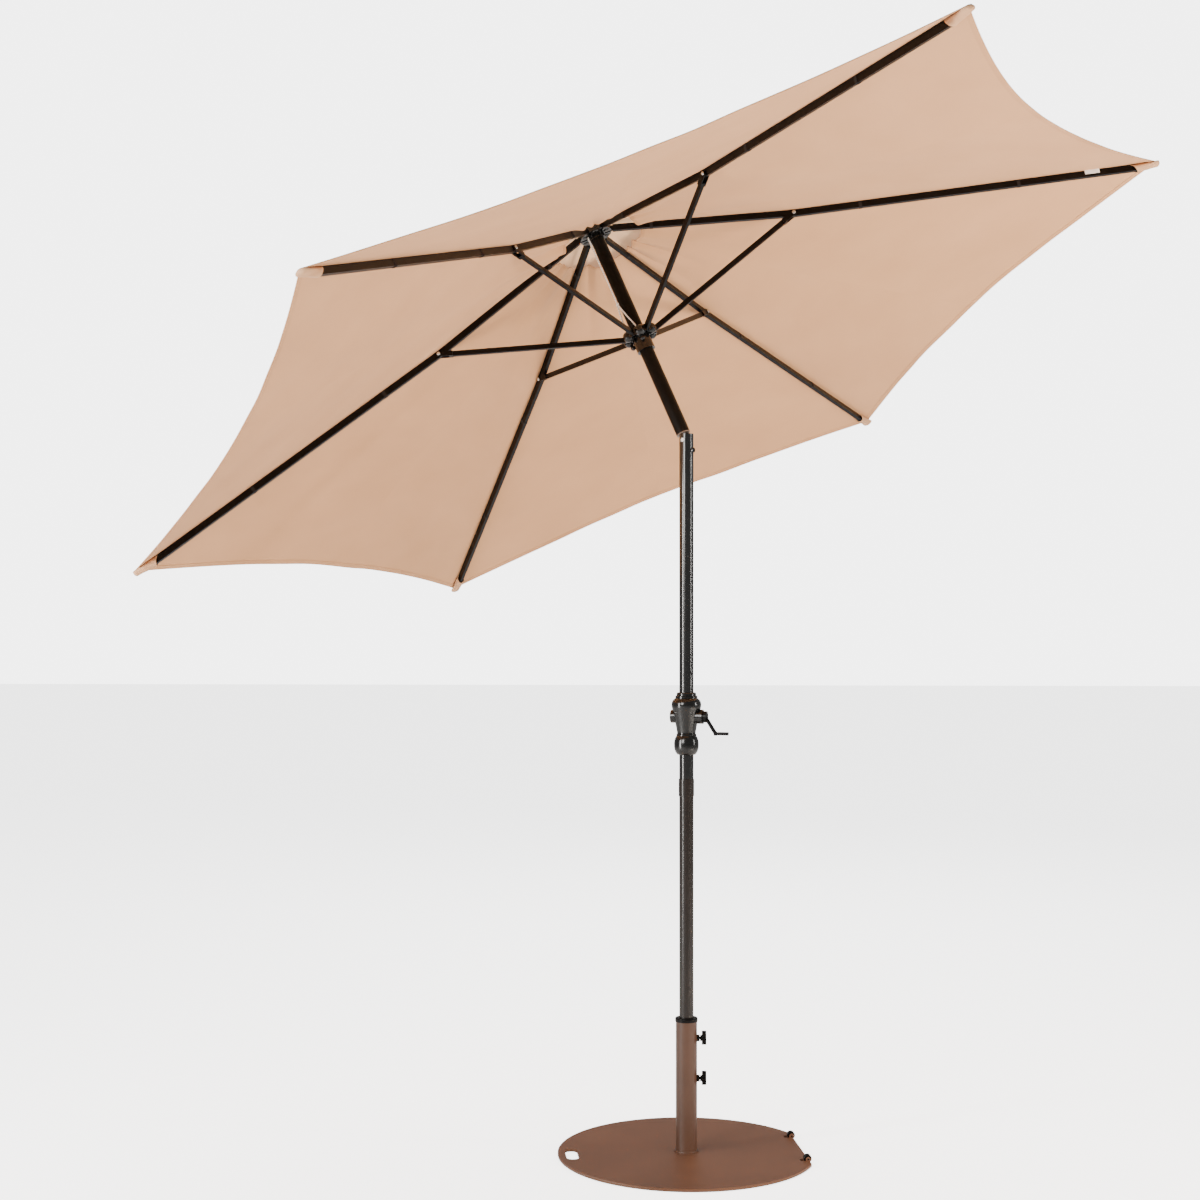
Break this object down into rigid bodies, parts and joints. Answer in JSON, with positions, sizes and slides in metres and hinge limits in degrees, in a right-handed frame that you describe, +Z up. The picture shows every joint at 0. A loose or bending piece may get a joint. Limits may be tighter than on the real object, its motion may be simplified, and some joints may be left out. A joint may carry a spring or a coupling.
{
  "type": "patio umbrella with base",
  "caption": "Tilting crank-up patio umbrella: cloth canopy on a folding steel rib frame, two-piece pole, and a round weighted steel foot with a clamped socket tube.",
  "frame": {"origin": "centre of the base plate's underside, on the pole axis", "axes": "+Z up the lower pole, +X towards the two clamp knobs"},
  "size_m": [2.7486, 2.6334, 2.7102],
  "materials": {
    "brown_powder_coat": "textured brown powder coat",
    "bronze_enamel": "gloss dark bronze enamel",
    "black_enamel": "gloss black enamel",
    "black_plastic": "moulded black plastic",
    "grey_plastic": "moulded grey nylon",
    "zinc_steel": "zinc plated steel",
    "canopy_cloth": "woven polyester, tan",
    "white_cord": "braided white cord"
  },
  "bodies": {
    "base": {"base_plate": "brown_powder_coat", "tube_bolts": "zinc_steel", "base_tube": "brown_powder_coat", "clamp_nuts": "black_enamel", "base_collar": "black_plastic", "wheel_brackets": "brown_powder_coat", "wheel_axles": "black_enamel"},
    "wheel_1": {"wheel_1": "black_plastic"},
    "wheel_2": {"wheel_2": "black_plastic"},
    "stud_1": {"clamp_stud_1": "black_enamel"},
    "stud_2": {"clamp_stud_2": "black_enamel"},
    "knob_1": {"clamp_knob_1": "black_plastic"},
    "knob_2": {"clamp_knob_2": "black_plastic"},
    "foot": {"pole_foot": "black_plastic"},
    "lower_pole": {"lower_pole_tube": "bronze_enamel", "pole_sleeve": "bronze_enamel", "middle_pole_tube": "black_enamel", "crank_housing_near": "black_plastic", "crank_housing_far": "black_plastic", "housing_screws": "zinc_steel", "crank_end_cap": "black_plastic", "tilt_knuckle_lower": "grey_plastic", "tilt_pin": "zinc_steel", "button_spring": "zinc_steel", "lift_cord_lower": "white_cord"},
    "tilt_button": {"tilt_button": "black_plastic"},
    "crank": {"crank_shaft": "zinc_steel", "cord_spool": "black_plastic", "crank_arm": "black_plastic"},
    "grip": {"crank_grip": "black_plastic"},
    "upper_pole": {"upper_pole_tube": "black_enamel", "tilt_knuckle_upper": "grey_plastic", "hub": "black_plastic", "hub_pins": "zinc_steel", "finial": "black_plastic", "vent_cap": "canopy_cloth", "lift_cord_inner": "white_cord", "lift_cord_upper": "white_cord"},
    "runner": {"runner": "black_plastic", "runner_pins": "zinc_steel"},
    "cord_end": {"cord_yoke": "white_cord"},
    "rib_1": {"rib_1": "black_enamel", "gore_1": "canopy_cloth"},
    "strut_1": {"strut_1": "black_enamel"},
    "rib_2": {"rib_2": "black_enamel", "gore_2": "canopy_cloth"},
    "strut_2": {"strut_2": "black_enamel"},
    "rib_3": {"rib_3": "black_enamel", "gore_3": "canopy_cloth"},
    "strut_3": {"strut_3": "black_enamel"},
    "rib_4": {"rib_4": "black_enamel", "gore_4": "canopy_cloth"},
    "strut_4": {"strut_4": "black_enamel"},
    "rib_5": {"rib_5": "black_enamel", "gore_5": "canopy_cloth"},
    "strut_5": {"strut_5": "black_enamel"},
    "rib_6": {"rib_6": "black_enamel", "gore_6": "canopy_cloth"},
    "strut_6": {"strut_6": "black_enamel"}
  },
  "joints": [
    {"name": "wheel_1_spin", "type": "hinge", "parent": "base", "child": "wheel_1", "pos_m": [0.28531, 0.15421, 0.0125], "axis": [-0.1392, 0.9903, 0], "continuous": true},
    {"name": "wheel_2_spin", "type": "hinge", "parent": "base", "child": "wheel_2", "pos_m": [0.31677, -0.06959, 0.0125], "axis": [-0.1392, 0.9903, 0], "continuous": true},
    {"name": "stud_1_slide", "type": "slide", "parent": "base", "child": "stud_1", "axis": [1, 0, 0], "range_m": [0, 0.006]},
    {"name": "knob_1_turn", "type": "hinge", "parent": "stud_1", "child": "knob_1", "pos_m": [0.045, 0, 0.309], "axis": [1, 0, 0], "range_deg": [0, 1441]},
    {"name": "stud_2_slide", "type": "slide", "parent": "base", "child": "stud_2", "axis": [1, 0, 0], "range_m": [0, 0.006]},
    {"name": "knob_2_turn", "type": "hinge", "parent": "stud_2", "child": "knob_2", "pos_m": [0.045, 0, 0.202], "axis": [1, 0, 0], "range_deg": [0, 1441]},
    {"name": "pole_swivel", "type": "hinge", "parent": "base", "child": "foot", "pos_m": [0, 0, 0.013], "axis": [0, 0, 1], "continuous": true},
    {"name": "pole_lift", "type": "slide", "parent": "foot", "child": "lower_pole", "axis": [0, 0, 1], "range_m": [0, 0.34]},
    {"name": "tilt", "type": "hinge", "parent": "lower_pole", "child": "upper_pole", "pos_m": [0, 0, 1.9016], "axis": [-0.509, -0.8607, 0], "range_deg": [-26.68, 0]},
    {"name": "tilt_button_press", "type": "slide", "parent": "lower_pole", "child": "tilt_button", "axis": [-0.8607, 0.509, 0], "range_m": [0, 0.003], "stiffness_N_per_m": 800, "springref_m": -0.002, "deforming": ["button_spring"]},
    {"name": "rib_1_fold", "type": "hinge", "parent": "upper_pole", "child": "rib_1", "pos_m": [-0.28646, 0.14547, 2.46906], "axis": [-0.0074, -0.9695, 0.2448], "range_deg": [0, 16], "deforming": ["gore_1", "lift_cord_upper"]},
    {"name": "strut_1_fold", "type": "hinge", "parent": "rib_1", "child": "strut_1", "pos_m": [-0.67109, 0.06557, 2.14101], "axis": [-0.0074, -0.9695, 0.2448], "range_deg": [-32.01, 0]},
    {"name": "runner_slide", "type": "hinge", "parent": "strut_1", "child": "runner", "pos_m": [-0.16067, 0.07108, 2.17824], "axis": [-0.0074, -0.9695, 0.2448], "range_deg": [0, 16.01]},
    {"name": "rib_2_fold", "type": "hinge", "parent": "upper_pole", "child": "rib_2", "pos_m": [-0.26927, 0.11539, 2.48419], "axis": [0.795, -0.4086, 0.4484], "range_deg": [0, 16], "deforming": ["gore_2"]},
    {"name": "strut_2_fold", "type": "hinge", "parent": "rib_2", "child": "strut_2", "pos_m": [-0.43324, -0.35058, 2.35033], "axis": [0.795, -0.4086, 0.4484], "range_deg": [-32.01, 0]},
    {"name": "rib_3_fold", "type": "hinge", "parent": "upper_pole", "child": "rib_3", "pos_m": [-0.23441, 0.11872, 2.49842], "axis": [0.8024, 0.561, 0.2036], "range_deg": [0, 16], "deforming": ["gore_3"]},
    {"name": "strut_3_fold", "type": "hinge", "parent": "rib_3", "child": "strut_3", "pos_m": [0.04914, -0.30455, 2.5472], "axis": [0.8024, 0.561, 0.2036], "range_deg": [-32.01, 0]},
    {"name": "rib_4_fold", "type": "hinge", "parent": "upper_pole", "child": "rib_4", "pos_m": [-0.21674, 0.15212, 2.49751], "axis": [0.0074, 0.9695, -0.2448], "range_deg": [0, 16], "deforming": ["gore_4"]},
    {"name": "strut_4_fold", "type": "hinge", "parent": "rib_4", "child": "strut_4", "pos_m": [0.29368, 0.15763, 2.53475], "axis": [0.0074, 0.9695, -0.2448], "range_deg": [-32.01, 0]},
    {"name": "rib_5_fold", "type": "hinge", "parent": "upper_pole", "child": "rib_5", "pos_m": [-0.23392, 0.1822, 2.48239], "axis": [-0.795, 0.4086, -0.4484], "range_deg": [0, 16], "deforming": ["gore_5"]},
    {"name": "strut_5_fold", "type": "hinge", "parent": "rib_5", "child": "strut_5", "pos_m": [0.05584, 0.57378, 2.32542], "axis": [-0.795, 0.4086, -0.4484], "range_deg": [-32.01, 0]},
    {"name": "rib_6_fold", "type": "hinge", "parent": "upper_pole", "child": "rib_6", "pos_m": [-0.26879, 0.17887, 2.46816], "axis": [-0.8024, -0.561, -0.2036], "range_deg": [0, 16], "deforming": ["gore_6"]},
    {"name": "strut_6_fold", "type": "hinge", "parent": "rib_6", "child": "strut_6", "pos_m": [-0.42655, 0.52775, 2.12855], "axis": [-0.8024, -0.561, -0.2036], "range_deg": [-32.01, 0]},
    {"name": "cord_pull", "type": "slide", "parent": "upper_pole", "child": "cord_end", "axis": [0.3865, -0.2286, -0.8935], "range_m": [0, 0.2552]},
    {"name": "crank_turn", "type": "hinge", "parent": "lower_pole", "child": "crank", "pos_m": [0, 0, 1.165], "axis": [0.9659, -0.2588, 0], "range_deg": [0, 1462]},
    {"name": "grip_spin", "type": "hinge", "parent": "crank", "child": "grip", "pos_m": [0.09659, -0.02588, 1.121], "axis": [0.9659, -0.2588, 0], "continuous": true}
  ],
  "couplings": [
    {"joint": "knob_1_turn", "follows": "stud_1_slide", "rad_per_m": 4188.8},
    {"joint": "knob_2_turn", "follows": "stud_2_slide", "rad_per_m": 4188.8},
    {"joint": "strut_1_fold", "follows": "rib_1_fold", "ratio": -2},
    {"joint": "runner_slide", "follows": "rib_1_fold", "ratio": 1},
    {"joint": "rib_2_fold", "follows": "rib_1_fold", "ratio": 1},
    {"joint": "strut_2_fold", "follows": "rib_1_fold", "ratio": -2},
    {"joint": "rib_3_fold", "follows": "rib_1_fold", "ratio": 1},
    {"joint": "strut_3_fold", "follows": "rib_1_fold", "ratio": -2},
    {"joint": "rib_4_fold", "follows": "rib_1_fold", "ratio": 1},
    {"joint": "strut_4_fold", "follows": "rib_1_fold", "ratio": -2},
    {"joint": "rib_5_fold", "follows": "rib_1_fold", "ratio": 1},
    {"joint": "strut_5_fold", "follows": "rib_1_fold", "ratio": -2},
    {"joint": "rib_6_fold", "follows": "rib_1_fold", "ratio": 1},
    {"joint": "strut_6_fold", "follows": "rib_1_fold", "ratio": -2},
    {"joint": "cord_pull", "follows": "rib_1_fold", "m_per_rad": 0.9129},
    {"joint": "crank_turn", "follows": "rib_1_fold", "ratio": 91.3}
  ]
}
